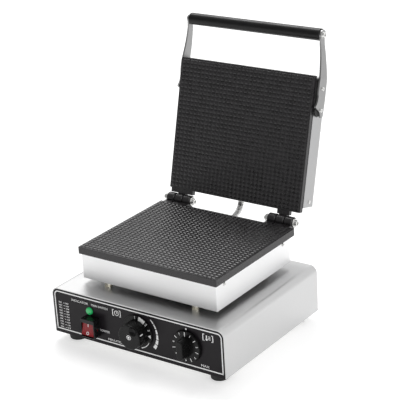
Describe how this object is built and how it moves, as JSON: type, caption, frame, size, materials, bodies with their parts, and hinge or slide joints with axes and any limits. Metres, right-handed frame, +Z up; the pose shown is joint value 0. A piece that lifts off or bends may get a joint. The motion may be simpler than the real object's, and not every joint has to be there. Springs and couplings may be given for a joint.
{
  "type": "waffle maker",
  "caption": "Countertop waffle iron with a square stainless base, knobs and a switch in front, and a hinged lid with a bar handle over dark pimpled plates.",
  "frame": {"origin": "on the table, under the middle of the box round the machine with its lid open", "axes": "+Z up, -Y towards the user and the control panel, +X to the right as the user sees it"},
  "size_m": [0.288, 0.3453, 0.3946],
  "materials": {
    "stainless": "satin brushed",
    "zinc_steel": "bright zinc",
    "nickel": "nickel plated",
    "cast_plate": "non-stick coated",
    "element_tube": "heat darkened",
    "fibre": "ceramic fibre felt",
    "overlay": "printed film",
    "black_plastic": "satin moulded",
    "grip_plastic": "heat-resistant moulded",
    "pad_plastic": "moulded",
    "rocker_red": "translucent red",
    "lamp_green": "translucent green",
    "foot_rubber": "moulded",
    "silicone": "silicone",
    "hose_grey": "braided sleeve over spiral tube",
    "phenolic": "moulded",
    "ceramic": "glazed",
    "copper": "drawn tube",
    "wire_sleeve": "glass braid"
  },
  "bodies": {
    "base": {"base_shell": "stainless", "front_panel": "zinc_steel", "panel_overlay": "overlay", "rear_panel": "stainless", "bottom_plate": "zinc_steel", "feet": "foot_rubber", "foot_screws": "zinc_steel", "foot_nuts": "zinc_steel", "standoffs": "nickel", "standoff_bolts": "zinc_steel", "standoff_nuts": "zinc_steel", "cable_sleeve": "silicone", "lower_plate": "cast_plate", "hinge_bolts": "zinc_steel", "hinge_washers": "zinc_steel", "hinge_nuts": "zinc_steel", "lower_housing": "stainless", "lower_housing_screws": "zinc_steel", "lower_heater": "element_tube", "lower_clamp_bars": "zinc_steel", "lower_clamp_screws": "zinc_steel", "lower_insulation": "fibre", "sensor_bulb": "copper", "capillary_tube": "copper", "lower_gland": "nickel", "conduit_hose": "hose_grey", "pilot_lens": "lamp_green", "pilot_body": "black_plastic", "switch_body": "black_plastic", "timer_body": "phenolic", "thermostat_body": "phenolic", "control_screws": "zinc_steel", "terminal_block": "ceramic", "wiring_loom": "wire_sleeve", "cable_gland": "black_plastic"},
    "lid": {"upper_plate": "cast_plate", "upper_housing": "stainless", "upper_housing_screws": "zinc_steel", "upper_heater": "element_tube", "upper_clamp_bars": "zinc_steel", "upper_clamp_screws": "zinc_steel", "upper_insulation": "fibre", "arm_left": "stainless", "arm_right": "stainless", "arm_pads": "pad_plastic", "arm_screws": "zinc_steel", "handle_grip": "grip_plastic", "handle_rod": "zinc_steel", "handle_end_screws": "zinc_steel", "upper_gland": "nickel"},
    "timer_control": {"timer_dial": "black_plastic", "timer_knob": "black_plastic", "timer_spindle": "zinc_steel"},
    "thermostat_control": {"thermostat_knob": "black_plastic", "thermostat_spindle": "zinc_steel"},
    "rocker": {"power_rocker": "rocker_red"}
  },
  "joints": [
    {"name": "lid_hinge", "type": "hinge", "parent": "base", "child": "lid", "pos_m": [0, 0.086, 0.1354], "axis": [1, 0, 0], "range_deg": [0, 105], "deforming": ["conduit_hose"]},
    {"name": "rocker_tilt", "type": "hinge", "parent": "base", "child": "rocker", "pos_m": [-0.074, -0.1559, 0.0348], "axis": [1, 0, 0], "range_deg": [0, 24]},
    {"name": "timer_turn", "type": "hinge", "parent": "base", "child": "timer_control", "pos_m": [0.0038, -0.15, 0.0468], "axis": [0, 1, 0], "range_deg": [0, 300]},
    {"name": "thermostat_turn", "type": "hinge", "parent": "base", "child": "thermostat_control", "pos_m": [0.0845, -0.15, 0.046], "axis": [0, 1, 0], "range_deg": [0, 270]}
  ]
}
